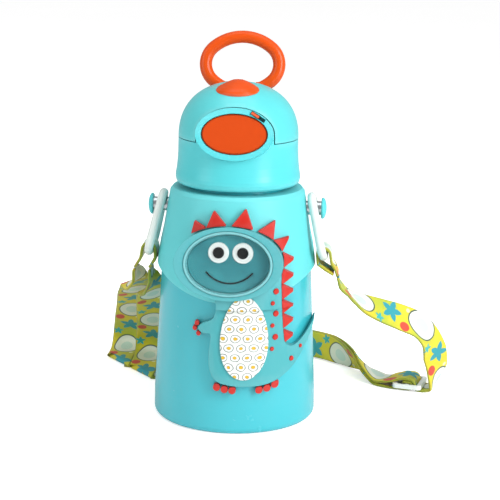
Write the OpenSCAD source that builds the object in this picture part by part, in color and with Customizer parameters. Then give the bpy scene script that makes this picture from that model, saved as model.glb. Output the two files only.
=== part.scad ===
// Insulated kids water bottle: double-walled steel flask, soft sleeve with a
// padded animal face, screw-on lid with a push-button flip cover, and a shoulder strap.
// Origin: centre of the base on the resting plane. +Z up, the face looks along -Y.

/* [Flask] */
// Radius of the flask just above its base
base_r = 39.8; // [39:0.1:41]
// Radius of the rounded bottom corner
base_round = 3.2; // [2:0.1:4]
// Radius of the flask where the sleeve starts
waist_r = 37.1; // [36.5:0.1:37.6]
// Height of the flask's shoulder, where it starts to narrow
shoulder_z = 78; // [76:0.5:80]
// Outer radius of the steel neck
neck_r = 23.6; // [22.5:0.1:24]
// Height of the drinking mouth
mouth_z = 122; // [121:0.5:124]
// Thickness of the outer steel wall
shell_wall = 0.8; // [0.5:0.1:1.2]
// Thickness of the inner steel wall
liner_wall = 0.6; // [0.4:0.1:1]

/* [Sleeve] */
// Top edge of the sleeve
sleeve_top_z = 113.5; // [112:0.1:114.5]
// Lowest point of the sleeve's curved hem
hem_z = 64; // [60:0.5:68]
// Radius of the curve that the hem follows in front view
hem_curve_r = 66; // [60:1:90]
// Outer radius of the sleeve at its top
sleeve_top_r = 32.6; // [31.5:0.1:34]
// Outer radius of the sleeve at its hem
sleeve_hem_r = 38.9; // [38.6:0.1:40]
// Wall of the sleeve
sleeve_wall = 2.0; // [1.6:0.1:2.4]

/* [Lid] */
// Outer radius of the lid's straight wall
lid_r = 28.9; // [28.4:0.1:30]
// Wall of the lid base
lid_wall = 2.2; // [1.8:0.1:2.4]
// Bottom edge of the lid
lid_bottom_z = 115.7; // [115:0.1:116.5]
// Height of the seam between the lid base and the flip cover
seam_z = 137.7; // [136:0.1:140]
// Top of the dome
dome_top_z = 164; // [160:0.5:168]
// Wall of the flip cover
cover_wall = 2.2; // [1.8:0.1:2.6]
// Gap between the cover and the lid base
seam_gap = 0.4; // [0.3:0.05:0.8]

/* [Push button] */
// Half width of the oval button
button_a = 15.3; // [13:0.1:15.6]
// Half height of the oval button
button_b = 9.3; // [8:0.1:9.6]
// Half width of the bezel around the button
bezel_a = 18.3; // [18:0.1:19]
// Half height of the bezel around the button
bezel_b = 12.4; // [12:0.1:13]
// Backward lean of the button's face, in degrees
button_lean = 12; // [8:1:14]

/* [Carry ring] */
// Half width of the ring, to the middle of its tube
ring_a = 18; // [17:0.1:20]
// Half height of the ring, to the middle of its tube
ring_b = 13.5; // [13:0.1:14]
// Radius of the ring's tube
ring_tube_r = 3.05; // [2.6:0.05:3.2]
// Backward lean of the ring at rest, in degrees
ring_lean = 15; // [0:1:30]
// Radius of the ring's pivot pin
ring_pin_r = 1.5; // [1.2:0.1:1.8]

/* [Strap fittings] */
// Height of the two strap studs
stud_z = 103.6; // [102:0.1:105]
// Radius of a stud's neck
stud_neck_r = 3.4; // [3:0.1:3.6]
// Radius of a stud's mushroom head
stud_head_r = 5.2; // [4.8:0.1:5.6]
// Distance from the axis to the back of a stud's head
stud_head_x = 40.8; // [40.6:0.1:42]
// Radius of the strap ring's tube
link_tube_r = 2.1; // [1.9:0.05:2.2]
// Half width of the strap ring, to the middle of its tube
link_wide = 12; // [11.5:0.1:13]
// Distance from the stud to the strap ring's bar
link_drop = 24; // [22:0.5:25]
// Radius of the shallow arc of the strap ring's bar
link_bottom_r = 20; // [16:1:40]
// Outward lean of the strap rings, in degrees
link_lean = 13; // [11:0.5:14]
// Width of the webbing
strap_w = 15; // [12:0.5:16]
// Thickness of the webbing
strap_t = 1.3; // [1:0.1:1.6]

/* [Animal face] */
// Half width of the head
head_a = 25.5; // [24:0.1:27]
// Half height of the head
head_b = 17.2; // [16.4:0.1:18]
// Half width of the clear window
window_a = 19.6; // [17:0.1:20]
// Half height of the clear window
window_b = 14; // [12:0.1:14.2]
// Thickness of the soft body panel
skin_t = 3.2; // [2.6:0.1:4]
// Radius of each eye
eye_r = 4.9; // [4:0.1:5.4]

/* [Hidden] */
$fn = 96;

// Clearances
film = 0.25;        // adhesive film between the soft panels and what they are stuck to
bond = 0.1;         // glue line between two soft layers
inlay = 0.15;       // gap round a piece that is set into another
loose = 0.3;        // gap between pieces that only rest near each other
running = 0.05;     // radial clearance of a pin in its bore

// Flask profile: [radius, height], from the base up to the mouth
neck_foot_z = 110.5;
shell_side = [[base_r - 0.1, 13], [38.3, 40], [waist_r, hem_z], [36.3, shoulder_z],
              [34.6, 86], [32.4, 92], [neck_r + 1.4, 108.5], [neck_r, neck_foot_z]];
shell_corner = [for (a = [0:15:90]) [base_r - base_round * (1 - sin(a)), base_round * (1 - cos(a))]];
shell_outer = concat(shell_corner, shell_side, [[neck_r, mouth_z - liner_wall]]);
shell_inner = [for (i = [len(shell_outer) - 1:-1:2])
               [shell_outer[i][0] - shell_wall, max(shell_outer[i][1], shell_wall)]];

// Radius of the flask and of the sleeve at a height
function flask_r(z) = lookup(z, [for (p = shell_outer) [p[1], p[0]]]);
sleeve_side = [[0, sleeve_hem_r], [70, sleeve_hem_r], [75, sleeve_hem_r - 0.2], [80, sleeve_hem_r - 0.7],
               [87, 37.1], [94.5, 35.5], [sleeve_top_z - 1.6, sleeve_top_r], [sleeve_top_z,
                   sleeve_top_r - 1.3]];
function sleeve_r(z) = lookup(z, sleeve_side);
function support_r(z) = z < hem_z - 2 ? flask_r(z) : sleeve_r(z);

// Lid
insert_gap = 0.1;
insert_r = lid_r - lid_wall - insert_gap;
deck_z = 127.8;
deck_t = 2.2;
dome_power = 2.25;
dome_h = dome_top_z - seam_z;
function dome_profile(r, h, z0, steps = 24) =
    [for (i = [0:steps]) let (t = 90 * i / steps)
     [r * pow(cos(t), 2 / dome_power), z0 + h * pow(sin(t), 2 / dome_power)]];

// Hinge of the flip cover
hinge_y = lid_r + 0.9;
hinge_z = seam_z + 1.1;
hinge_knuckle_r = 3;
hinge_pin_r = 1.2;
spring_w = 2.4;
base_knuckle_x = 6;
cover_knuckle_x = 11.5;

// Push button: its own frame has +Z out of the face and +Y up the face
button_z = 142.8;
button_y = -27.9;
cap_sink = 0.5;
cap_t = 2.6;
stem_r = 3;
seat_back = 11.6;
seat_t = 1.8;
spring_wire_r = 0.45;

// Spout and straw
spout_y = 3;
spout_r = 5.5;
spout_tip_z = 150.2;
straw_r = 3.4;
straw_wall = 0.8;
straw_end_z = 12;

// Carry ring pivot, on the back of the dome
ring_pivot_y = 17;
ring_pivot_z = 158.6;
ring_rise = 12;
ring_boss_x = 6.5;
ring_eye_x0 = 6.9;
ring_eye_x1 = 10.9;
ring_eye_r = 3.4;
crown_y = -7;
crown_stem_r = 2.4;

// Face
head_x = -1;
head_z = 84;
face_lean = 8;
face_y = -41.6;
window_sink = 2.4;
body_x = 7;

// ---- shared shapes ----

function oval(a, b, n = 96) = [for (i = [0:n - 1]) [a * cos(360 * i / n), b * sin(360 * i / n)]];

function curve_point(p0, p1, p2, p3, t) =
    0.5 * (2 * p1 + (p2 - p0) * t + (2 * p0 - 5 * p1 + 4 * p2 - p3) * t * t
           + (3 * p1 - p0 - 3 * p2 + p3) * t * t * t);

function smooth_loop(p, n = 5) = let (m = len(p))
    [for (i = [0:m - 1]) for (j = [0:n - 1])
     curve_point(p[(i + m - 1) % m], p[i], p[(i + 1) % m], p[(i + 2) % m], j / n)];

function unit(v) = v / norm(v);
function clamp_index(i, m) = max(0, min(m - 1, i));

// Sweeps a section along a path. Each ring is square to the path, and its width
// direction is the given one with its part along the path taken away. A direction with
// a fourth value is kept as it is, which makes a slanting ring.
module sweep(path, widths, section, closed = false) {
    m = len(path);
    k = len(section);
    rings = [for (i = [0:m - 1])
        let (next = closed ? (i + 1) % m : clamp_index(i + 1, m),
             back = closed ? (i + m - 1) % m : clamp_index(i - 1, m),
             t = unit(path[next] - path[back]), w0 = len(widths) == m ? widths[i] : widths[0],
             along = [w0[0], w0[1], w0[2]], w = len(w0) > 3 ? along : unit(along - (along * t) * t),
             n = unit(cross(t, w)))
        for (s = section) path[i] + w * s[0] + n * s[1]];
    sides = [for (i = [0:closed ? m - 1 : m - 2]) for (j = [0:k - 1]) let (i2 = (i + 1) % m, j2 = (j + 1) % k)
        [i2 * k + j, i2 * k + j2, i * k + j2, i * k + j]];
    ends = closed ? [] : [[for (j = [0:k - 1]) j], [for (j = [k - 1:-1:0]) (m - 1) * k + j]];
    polyhedron(points = rings, faces = concat(sides, ends), convexity = 8);
}

function strap_section() = let (e = strap_t / 2, h = strap_w / 2, c = e * 0.6)
    [[h, -e + c], [h, e - c], [h - c, e], [c - h, e], [-h, e - c], [-h, c - e], [c - h, -e], [h - c, -e]];
function round_section(r, n = 8) = [for (i = [0:n - 1]) [r * cos(360 * i / n), r * sin(360 * i / n)]];

// Points of an arc in the XY plane
function arc_points(centre, r, from, to, steps) =
    [for (i = [0:steps]) let (a = from + (to - from) * i / steps) [centre[0] + r * cos(a),
        centre[1] + r * sin(a), 0]];

module revolve(points) { rotate_extrude() polygon(points); }

module dome_solid(grow = 0) {
    revolve(concat([[0, seam_z - 12]], [[lid_r + grow, seam_z - 12]],
                   dome_profile(lid_r + grow, dome_h + grow, seam_z), [[0, dome_top_z + grow]]));
}

module at_button() { translate([0, button_y, button_z]) rotate([90 - button_lean, 0, 0]) children(); }
module at_face() { translate([head_x, face_y, head_z]) rotate([90 - face_lean, 0, 0]) children(); }
module along_x(y, z) { translate([0, y, z]) rotate([0, 90, 0]) children(); }
module front_prism(depth = 60) { rotate([90, 0, 0]) linear_extrude(depth) children(); }

// Ring of material between two distances out from what the face is stuck to
module relief_shell(t0, t1, z0 = 18, z1 = 112) {
    step_z = hem_z - 2;
    zs = [z0, 30, 40, 50, step_z - 0.01, step_z, 70, 75, 80, 87, 94.5, 100, 106, z1];
    difference() {
        revolve(concat([[0, z0]], [for (z = zs) [support_r(z) + t1, z]], [[0, z1]]));
        revolve(concat([[0, z0 - 1], [support_r(z0) + t0, z0 - 1]], [for (z = zs) [support_r(z) + t0, z]],
                       [[support_r(z1) + t0, z1 + 1], [0, z1 + 1]]));
    }
}

// ---- flask ----

module outer_shell() {
    color("#3fc3d0") union() {
        revolve(concat(shell_outer, shell_inner, [[30, shell_wall], [30, 0]]));
        for (z = [116.6, 119.4])
            translate([0, 0, z]) rotate_extrude() translate([neck_r - 0.2, 0])
                polygon([[0, -0.9], [1.1, -0.3], [1.1, 0.3], [0, 0.9]]);
    }
}

liner_outer = [[34, 4], [36.2, 6.2], [36, 13], [34.9, 40], [33.7, hem_z], [32.9, 76], [30.6, 85],
               [neck_r + 0.9, 104], [neck_r - shell_wall - 0.5, 108], [neck_r - shell_wall - 0.5,
                   mouth_z - liner_wall]];

module inner_shell() {
    lip = [[neck_r, mouth_z - liner_wall], [neck_r, mouth_z]];
    inside = [for (i = [len(liner_outer) - 1:-1:0])
              [liner_outer[i][0] - liner_wall, max(liner_outer[i][1], 4 + liner_wall)]];
    color("#c9cdd0") revolve(concat([[0, 4]], liner_outer, lip,
        [[liner_outer[len(liner_outer) - 1][0] - liner_wall, mouth_z]], inside, [[0, 4 + liner_wall]]));
}

module base_disc() { color("#3fc3d0") cylinder(r = 29.95, h = 1); }

// ---- sleeve and strap studs ----

module sleeve() {
    inner = [[waist_r + loose, hem_z - 1], [waist_r + loose, hem_z + 2], [36.3 + loose, shoulder_z],
             [35.1, 86], [33.4, 94.5], [sleeve_top_r - sleeve_wall, sleeve_top_z - 2],
             [neck_r + loose, sleeve_top_z - 2], [neck_r + loose, sleeve_top_z]];
    outer = [for (i = [len(sleeve_side) - 1:-1:1]) [sleeve_side[i][1], sleeve_side[i][0]]];
    color("#6fe0dc") difference() {
        intersection() {
            revolve(concat(inner, outer, [[sleeve_hem_r, hem_z - 1]]));
            translate([0, 0, hem_z + hem_curve_r]) rotate([90, 0, 0])
                cylinder(r = hem_curve_r, h = 100, center = true, $fn = 128);
        }
        for (side = [0, 180]) rotate([0, 0, side]) along_x(0, stud_z)
            cylinder(r = stud_neck_r + running, h = 60, $fn = 48);
    }
}

stud_flange_x = 29.9;

module stud_pins() {
    color("#2f9d9d") for (side = [0, 180]) rotate([0, 0, side]) along_x(0, stud_z) union() {
        translate([0, 0, stud_flange_x]) cylinder(r = stud_neck_r,
            h = stud_head_x + 0.8 - stud_flange_x, $fn = 48);
        translate([0, 0, stud_flange_x]) cylinder(r = stud_neck_r + 1.6, h = 1, $fn = 48);
    }
}

module stud_caps() {
    head_t = 2.6;
    color("#3fc9cc") for (side = [0, 180]) rotate([0, 0, side]) along_x(0, stud_z)
        translate([0, 0, stud_head_x]) difference() {
            rotate_extrude() polygon(concat([[0, 0], [stud_head_r - 0.5, 0], [stud_head_r, 0.5]],
                [for (a = [0:10:90]) [stud_head_r * cos(a), 0.7 + (head_t - 0.7) * sin(a)]]));
            translate([0, 0, -1]) cylinder(r = stud_neck_r + running, h = 1 + 0.85, $fn = 48);
        }
}

// ---- soft face ----

body_outline = smooth_loop([[-6, 72], [-6.3, 63], [-8, 57.2], [-13, 54.6], [-15, 52], [-12.5, 49.8],
    [-9, 49.4],
    [-9.6, 41], [-9.2, 33], [-6, 27.4], [1, 25.4], [8, 25], [16, 25.4], [23, 27.6], [30, 33], [35.5, 41.5],
    [39, 51.5], [34, 45.5], [29.5, 42.6], [26, 44.5], [25, 50], [24.2, 60], [23.7, 72], [22, 82], [8, 84]]);
belly_outline = [for (i = [0:71]) let (a = 5 * i)
    [body_x + 11.2 * cos(a) * (1 - 0.13 * sin(a)), 48.6 + 20.3 * sin(a)]];

module head_pod(grow = 0) {
    at_face() translate([0, 0, -16]) linear_extrude(16 + grow) polygon(oval(head_a + grow, head_b + grow));
}

// Everything inside the flask and the sleeve, with the adhesive film
module face_backing() {
    revolve(concat([[0, 10]], [for (z = [10, 30, 40, 50, hem_z - 2.01, hem_z - 2, 70, 75, 80, 87, 94.5, 112])
                               [support_r(z) + film, z]], [[0, 112]]));
}

// Freckles: [x, z, radius] down the back and on the tail
freckle_spots = concat([for (i = [0:5]) [i % 2 == 0 ? 21.4 : 20, 70.6 - 5.6 * i, i % 2 == 0 ? 1.5 : 1.1]],
                       [[29, 36.5, 1.3], [33, 41.5, 1]]);

module head_pad() {
    color("#4bb8b6") difference() {
        head_pod();
        face_backing();
        at_face() translate([0, 0, -window_sink - 1.4]) linear_extrude(20)
            polygon(oval(window_a + 1.2 + inlay, window_b + 1.2 + inlay));
    }
}

module skin_panel() {
    color("#4bb8b6") difference() {
        intersection() {
            front_prism() polygon(body_outline);
            relief_shell(film, skin_t);
        }
        head_pod(0.02);
    }
}

// A spike's flat outline, with its base centre at the origin and its tip up
module spike_outline(length, half) {
    polygon(concat([[-half, -1.5], [half, -1.5]], [[half, 0]],
        [for (a = [30:30:150]) [0.55 * cos(a), length - 0.7 + 0.55 * sin(a)]], [[-half, 0]]));
}

// Spikes over the head: [angle, length, half width]
head_spikes = [[124, 4.4, 3.7], [103, 7, 4.6], [75, 8.4, 4.9], [47, 7.6, 4.2], [25, 6, 3.5]];
back_spike_pitch = 7.4;

module spikes() {
    color("#d3352c") difference() {
        intersection() {
            front_prism() difference() {
                union() {
                    for (s = head_spikes) let (px = head_a * cos(s[0]) - 0.5, pz = head_b * sin(s[0]),
                        turn = atan2(pz / (head_b * head_b), px / (head_a * head_a)) - 90)
                        translate([head_x + px, head_z + pz]) rotate(turn) spike_outline(s[1], s[2]);
                    for (i = [0:5]) translate([24.2 + 0.1 * i, 84.4 - back_spike_pitch * i]) rotate(-90)
                        spike_outline(4.9, 3.5);
                }
                offset(delta = inlay) union() {
                    polygon(body_outline);
                    translate([head_x, head_z]) polygon(oval(head_a, head_b * cos(face_lean)));
                }
            }
            relief_shell(film, skin_t - 0.3, 20, 111);
        }
        head_pod(inlay);
    }
}

module belly_panel() {
    color("#f3f4f1") intersection() {
        front_prism() polygon(belly_outline);
        relief_shell(skin_t + bond, skin_t + 0.65, 22, 80);
        difference() {
            translate([-40, -60, 0]) cube([80, 60, 100]);
            head_pod(inlay);
        }
    }
}

module freckles() {
    color("#d3352c") for (s = freckle_spots) let (r = support_r(s[1]) + skin_t + bond)
        translate([0, 0, s[1]]) rotate([90, 0, asin(s[0] / r)]) translate([0, 0, r])
            cylinder(r1 = s[2], r2 = s[2] - 0.2, h = 0.4, $fn = 32);
}

// Toes and fingers: [x, z, radius]
claw_spots = [[-5.6, 24.2, 1.7], [-1.9, 23.4, 1.7], [1.8, 23, 1.7], [14.4, 23, 1.7], [18.1, 23.6, 1.7],
              [21.7, 25, 1.7], [-15.6, 54.2, 1.1], [-16.6, 51.7, 1.1], [-14.8, 49.4, 1.1]];

module claws() {
    color("#d3352c") intersection() {
        front_prism() difference() {
            for (s = claw_spots) translate([s[0], s[1]]) circle(r = s[2], $fn = 32);
            offset(delta = inlay) polygon(body_outline);
        }
        relief_shell(film, skin_t - 0.3, 19, 100);
    }
}

module window_bezel() {
    color("#57c4c0") at_face() translate([0, 0, -window_sink - 1.3]) difference() {
        linear_extrude(window_sink + 1.3 + 0.5) polygon(oval(window_a + 1.2, window_b + 1.2));
        translate([0, 0, -1]) linear_extrude(20) polygon(oval(window_a - 0.4, window_b - 0.4));
        translate([0, 0, window_sink - 0.2]) linear_extrude(20)
            polygon(oval(window_a + inlay, window_b + inlay));
    }
}

module window_lens() {
    lens_back = -0.9;
    color("#dff3f4") at_face() intersection() {
        translate([0, 0, lens_back]) linear_extrude(4) polygon(oval(window_a, window_b));
        translate([0, 0, -120 + 2.3]) sphere(r = 120, $fn = 200);
    }
}

plate_z = -window_sink - 1.2;

module face_plate() {
    color("#3fa9ab") at_face() translate([0, 0, plate_z]) linear_extrude(1)
        polygon(oval(window_a - 0.6, window_b - 0.6));
}

eye_x = 11.3;
eye_mid_x = 1;
eye_up = 5.2;

module at_eyes() {
    for (side = [-1, 1]) at_face() translate([eye_mid_x + side * eye_x / 2, eye_up, plate_z + 1]) children();
}

module eye_whites() { color("#f6f6f4") at_eyes() cylinder(r1 = eye_r, r2 = eye_r - 0.3, h = 0.8, $fn = 64); }
module eye_pupils() {
    color("#15181a") at_eyes() translate([0, 0, 0.85])
        cylinder(r1 = eye_r * 0.55, r2 = eye_r * 0.5, h = 0.6, $fn = 48);
}

module smile() {
    smile_r = 14;
    color("#23282b") at_face() translate([0.6, 5, plate_z + 1]) linear_extrude(0.4)
        intersection() {
            difference() {
                circle(r = smile_r + 0.35);
                circle(r = smile_r - 0.35);
            }
            polygon([[0, 0], [-19, -15.5], [0, -40], [19, -15.5]]);
        }
}

// ---- strap rings, loops and webbing ----

link_top_r = stud_neck_r + 0.25 + link_tube_r;
link_x = 37.3;
link_corner_r = 5;
link_corner_x = link_wide - link_corner_r;
link_corner_y = link_drop - link_bottom_r
                + sqrt(pow(link_bottom_r - link_corner_r, 2) - link_corner_x * link_corner_x);

// Rounded triangle, drawn in XY: small end about the origin, shallow arc towards -Y
module link_shape() {
    lean = acos((link_top_r - link_corner_r) / norm([link_corner_x, link_corner_y]))
           - atan2(link_corner_y, link_corner_x);
    turn = acos(link_corner_x / (link_bottom_r - link_corner_r));
    path = concat(arc_points([0, 0], link_top_r, lean, 180 - lean, 12),
                  arc_points([-link_corner_x, -link_corner_y], link_corner_r, 180 - lean, 180 + turn, 8),
                  arc_points([0, link_bottom_r - link_drop], link_bottom_r, 180 + turn
                      + 8, 360 - turn - 8, 6),
                  arc_points([link_corner_x, -link_corner_y], link_corner_r, 360 - turn, 360 + lean, 8));
    sweep(path, [[0, 0, 1]], round_section(link_tube_r, 16), closed = true);
}

module at_link(side) {
    translate([side * link_x, 0, stud_z]) rotate([0, -side * link_lean, 0]) rotate([90, 0, 90]) children();
}

module strap_ring_left() { color("#dfe5df") at_link(-1) link_shape(); }
module strap_ring_right() { color("#dfe5df") at_link(1) link_shape(); }

// Where the strap loop turns round the strap ring's bar
function link_bar(side) = [side * (link_x + link_drop * sin(link_lean)), 0,
    stud_z - link_drop * cos(link_lean)];
wrap_r = link_tube_r + 0.45 + strap_t / 2;
wrap_rise = link_bottom_r - sqrt(pow(link_bottom_r, 2) - pow(strap_w / 2, 2));

// Webbing turned over the ring's bar, with its two ends going down
module bar_loop(side, legs) {
    c = link_bar(side) + [0, 0, wrap_rise];
    over = [for (a = [0:15:180]) c + wrap_r * [side * cos(a), 0, sin(a)]];
    first = [for (i = [len(legs[0]) - 1:-1:0]) legs[0][i]];
    sweep(concat(first, over, legs[1]), [[0, 1, 0]], strap_section());
}

left_out = [-49, 0.5, 73.5];
left_in = [-41.8, 0.5, 73.5];
right_out = [49.6, 0, 71.5];

module strap_loop_left() {
    color("#c9cf2f") bar_loop(-1, [[[-46.6, 0, 77.2], left_out], [[-39.4, 0, 77.2], left_in]]);
}

module strap_loop_right() {
    color("#c9cf2f") bar_loop(1, [[[46.6, 0, 77.6], [48.6, 0, 74.6], right_out],
                                  [[40, 0, 77], [43.8, 0, 74.4], [47.6, 0, 72.2]]]);
}

// Tri-glide: a flat frame with a middle bar, lying on the resting plane
slider_at = [89, 46];
slider_turn = -14;
slider_l = 15;
slider_w = 19;
slider_t = 2.2;
slider_z = 2.7;
slider_corner_r = 2;
slot_l = 4.3;
slot_at = 3.15;
function at_slider(p) = [slider_at[0] + p[0] * cos(slider_turn),
    slider_at[1] + p[0] * sin(slider_turn), p[1]];
slider_across = [-sin(slider_turn), cos(slider_turn), 0];

module strap_slider() {
    color("#eef1ee") translate([slider_at[0], slider_at[1], slider_z]) rotate([0, 0, slider_turn])
        difference() {
        hull() for (x = [-1, 1]) for (y = [-1, 1])
            translate([x * (slider_l / 2 - slider_corner_r), y * (slider_w / 2 - slider_corner_r), 0])
                cylinder(r = slider_corner_r, h = slider_t, center = true, $fn = 32);
        for (x = [-1, 1]) translate([x * slot_at, 0, 0])
            cube([slot_l, strap_w + 0.8, 2 * slider_t], center = true);
    }
}

// Webbing from the right ring down to the slider, and the width direction at each point
main_in = [[50, 0, 69.6], [50.4, 0, 67.2], [53, 2, 63.5], [57, 5, 58.5], [63, 9, 54], [72, 14, 49.5],
    [82, 19, 45], [91, 24, 40], [97, 28, 33], [100.5, 33, 23], [102.5, 38, 12]];
main_in_w = [[0, 1, 0], [0, 1, 0], [0, 1, -0.1], [-0.3, 1, 0.3], [-0.6, 0.8, 0.8], [-0.6, 0.6, 1],
    [-0.5, 0.5, 1.2], [-0.3, 0.6, 1.4], [0.3, 0.6, 1], [0.8, 0.5, 0.4], [0.7, 0.8, 0.1]];

// Both runs through the slider, as distance along it and height
main_thread = [[13, 3.4], [9.5, 0.85], [5, 0.85], [4.1, 1.9], [3.8, 3.6], [3, 5.3], [1.2, 6.15],
    [-1.5, 6.2], [-3.6, 5.95], [-6.4, 4.95], [-10, 3.9]];
return_thread = [[-2.4, 4.55], [0.6, 4.55], [1.7, 4.3], [2.05, 3.4], [2.05, 2], [1.7, 1.1], [0.6, 0.75],
    [-6, 0.75], [-10, 0.75]];

// The two runs lie on each other from the slider to the back of the flask
pair = [[74, 52, 1.7], [67.5, 58, 4.6], [61, 66, 7.8], [55, 75, 8.2], [48, 84, 8.2], [38, 92, 8.2]];
pair_w = [[0.6, 0.8, 0], [0.6, 0.75, -0.35], [0.5, 0.5, -1], [0.2, 0.2, -1], [0, 0, -1], [0, 0, -1]];
function beside(path, widths, off) = let (m = len(path)) [for (i = [0:m - 1])
    path[i] + off * unit(cross(unit(path[clamp_index(i + 1, m)] - path[clamp_index(i - 1, m)]), widths[i]))];

// Main run behind the flask, on edge, then flat at the left
main_back = [[24, 99, 8.2], [6, 102, 8.2], [-14, 102, 8.2], [-28, 99, 8.2], [-34, 92, 8.2], [-28, 85.5, 8.2],
    [-14, 85, 8.2], [0, 85, 8.2], [7, 81, 8.2], [5, 76, 8.2], [-6, 75, 8.2], [-18, 73, 7.4], [-31, 68, 5.2],
    [-44, 65.5, 1.3], [-57, 67.4, 0.75]];
main_back_w = concat([for (i = [1:11]) [0, 0, -1]],
    [[0, -0.4, -1], [-0.2, -0.9, -0.45], [-0.2, -1, -0.08], [-0.25, -1, 0]]);

// Diagonal fold on the floor: the fourth value keeps the direction as it is
fold = [1, -1.27, 0, 1];
main_out = [[-68.5, 70.4, 0.75], [-69.1, 69.9, 1.5], [-68.5, 70.4, 2.25], [-68.5, 80, 2.25], [-68.5, 90, 2.7],
    [-68.5, 95.5, 5.5], [-67.6, 94, 12], [-65.4, 84, 22], [-62, 68, 34.5], [-58.6, 48, 46],
    [-55, 30, 54.5], [-52.4, 14, 61], [-50.8, 4, 64.5], [-50, 0.8, 67.9], [-50, 0.5, 71.2]];
out_w = concat([fold, fold, fold], [for (i = [1:5]) [1, 0, 0]],
    [[1, 0.05, 0], [1, 0.1, 0], [1, 0.3, 0], [0.8, 0.6, 0], [0.35, 1, 0.1], [0, 1, 0], [0, 1, 0]]);

// Return run behind the flask and at the left
return_back = [[30, 93, 8.2], [22, 89, 8.2], [18, 81, 8.2], [16, 71, 8.2], [10, 61, 8.2], [0, 55, 8.2],
    [-12, 51.5, 7.6], [-24, 49.5, 5.4], [-35, 48.6, 1.8], [-44, 49.2, 0.75]];
return_back_w = concat([for (i = [1:6]) [0, 0, -1]],
    [[0, -0.2, -1], [-0.1, -0.85, -0.5], [-0.1, -1, -0.1], [-0.2, -1, 0]]);
return_out = [[-53.5, 51.3, 0.75], [-54.1, 50.8, 1.5], [-53.5, 51.3, 2.25], [-53.5, 62, 2.9],
    [-53.5, 74, 3.4],
    [-53.5, 80, 5.8], [-53.2, 79.5, 11.5], [-51.6, 72, 19], [-50, 60, 28], [-48.2, 45, 39.5],
    [-46.4, 30, 49.5], [-44.2, 14, 57.5], [-42.9, 4, 62.5], [-42.3, 0.8, 67], [-42.3, 0.5, 71.2]];

module strap_main() {
    path = concat(main_in, [for (p = main_thread) at_slider(p)],
                  beside(pair, pair_w, -strap_t / 2 - inlay), main_back, main_out);
    widths = concat(main_in_w, [for (p = main_thread) slider_across], pair_w, main_back_w, out_w);
    color("#c9cf2f") sweep(path, widths, strap_section());
}

module strap_return() {
    path = concat([for (p = return_thread) at_slider(p)], beside(pair, pair_w, strap_t / 2 + inlay),
                  return_back, return_out);
    widths = concat([for (p = return_thread) slider_across], pair_w, return_back_w, out_w);
    color("#c9cf2f") sweep(path, widths, strap_section());
}

// ---- lid ----

module neck_seal() {
    color("#e8ecec") revolve([[20.4, mouth_z + loose], [23.2, mouth_z + loose], [23.4, mouth_z + loose + 0.4],
                              [23.4, 124.9], [20.4, 124.9]]);
}

lid_bead = [[lid_r - 0.1, lid_bottom_z], [lid_r + 0.8, lid_bottom_z + 0.9], [lid_r + 1.25,
    lid_bottom_z + 2.7],
            [lid_r + 1.15, lid_bottom_z + 4.4], [lid_r + 0.7, lid_bottom_z + 7], [lid_r + 0.3,
                lid_bottom_z + 10.5],
            [lid_r + 0.05, lid_bottom_z + 15], [lid_r - 0.05, seam_z - seam_gap / 2]];

module tower_outline() { polygon(oval(bezel_a, bezel_b)); }

// Clear space that the hinge knuckles of the other part turn in
module knuckle(x0, x1, r) {
    for (side = [0, 1]) mirror([side, 0, 0]) along_x(hinge_y, hinge_z)
        translate([0, 0, x0]) cylinder(r = r, h = x1 - x0, $fn = 48);
}

module lid_base() {
    wall_in = lid_r - lid_wall;
    color("#45cdd0") difference() {
        union() {
            revolve(concat(lid_bead, [[wall_in, seam_z - seam_gap / 2], [wall_in, deck_z + deck_t],
                                      [0, deck_z + deck_t], [0, deck_z], [wall_in, deck_z], [wall_in,
                                          lid_bottom_z]]));
            // bezel tube and the plate that the button's spring pushes on
            difference() {
                at_button() translate([0, 0, -seat_back]) linear_extrude(seat_back) tower_outline();
                at_button() translate([0, 0, -seat_back - 1]) cylinder(r = stem_r + 0.2, h = 6, $fn = 48);
                at_button() translate([-3, 5.2, -seat_back - 1]) cube([6, 3.8, 6]);
                translate([0, 0, 100]) cylinder(r = 60, h = deck_z - 100 + 0.5);
            }
            // cheeks that fill the wall up to the bezel's widest height
            difference() {
                intersection() {
                    dome_solid();
                    at_button() translate([-bezel_a, -bezel_b, -seat_back]) cube([2 * bezel_a, bezel_b, 20]);
                    translate([-40, -40, seam_z - 2]) cube([80, 40, 20]);
                }
                at_button() translate([0, 0, -20]) linear_extrude(40)
                    polygon(oval(bezel_a - 0.5, bezel_b - 0.5));
                translate([0, 0, 100]) cylinder(r = wall_in - 0.5, h = 60);
            }
            knuckle(spring_w, base_knuckle_x, hinge_knuckle_r);
            translate([-base_knuckle_x, wall_in, hinge_z - 7]) difference() {
                cube([2 * base_knuckle_x, hinge_y - wall_in, 7]);
                translate([-1, lid_wall + 0.4, -1]) rotate([-20, 0, 0]) translate([0, 0, -6])
                    cube([20, 6, 12]);
            }
        }
        // well of the button cap, which also cuts the wall behind it
        at_button() translate([0, 0, -seat_back + seat_t]) linear_extrude(20)
            polygon(oval(button_a + 0.35, button_b + 0.35));
        // spring pocket, pin bore and room for the cover's knuckles
        along_x(hinge_y, hinge_z) translate([0, 0, -spring_w])
            cylinder(r = hinge_knuckle_r + 0.4, h = 2 * spring_w, $fn = 48);
        knuckle(base_knuckle_x, cover_knuckle_x + 0.4, hinge_knuckle_r + 0.4);
        along_x(hinge_y, hinge_z) cylinder(r = hinge_pin_r + 0.02, h = 40, center = true, $fn = 48);
        // spout, vent and lock tab openings
        translate([0, spout_y, deck_z - 1]) cylinder(r = spout_r + 0.15, h = 8, $fn = 48);
        translate([vent_x, vent_y, deck_z - 1]) cylinder(r = 2.2, h = 8, $fn = 32);
        at_lock() translate([-lock_w / 2 - loose, -lock_t / 2 - loose, -lock_deep - loose])
            cube([lock_w + lock_travel + 2 * loose, lock_t + 2 * loose, lock_deep + 2]);
    }
}

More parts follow.
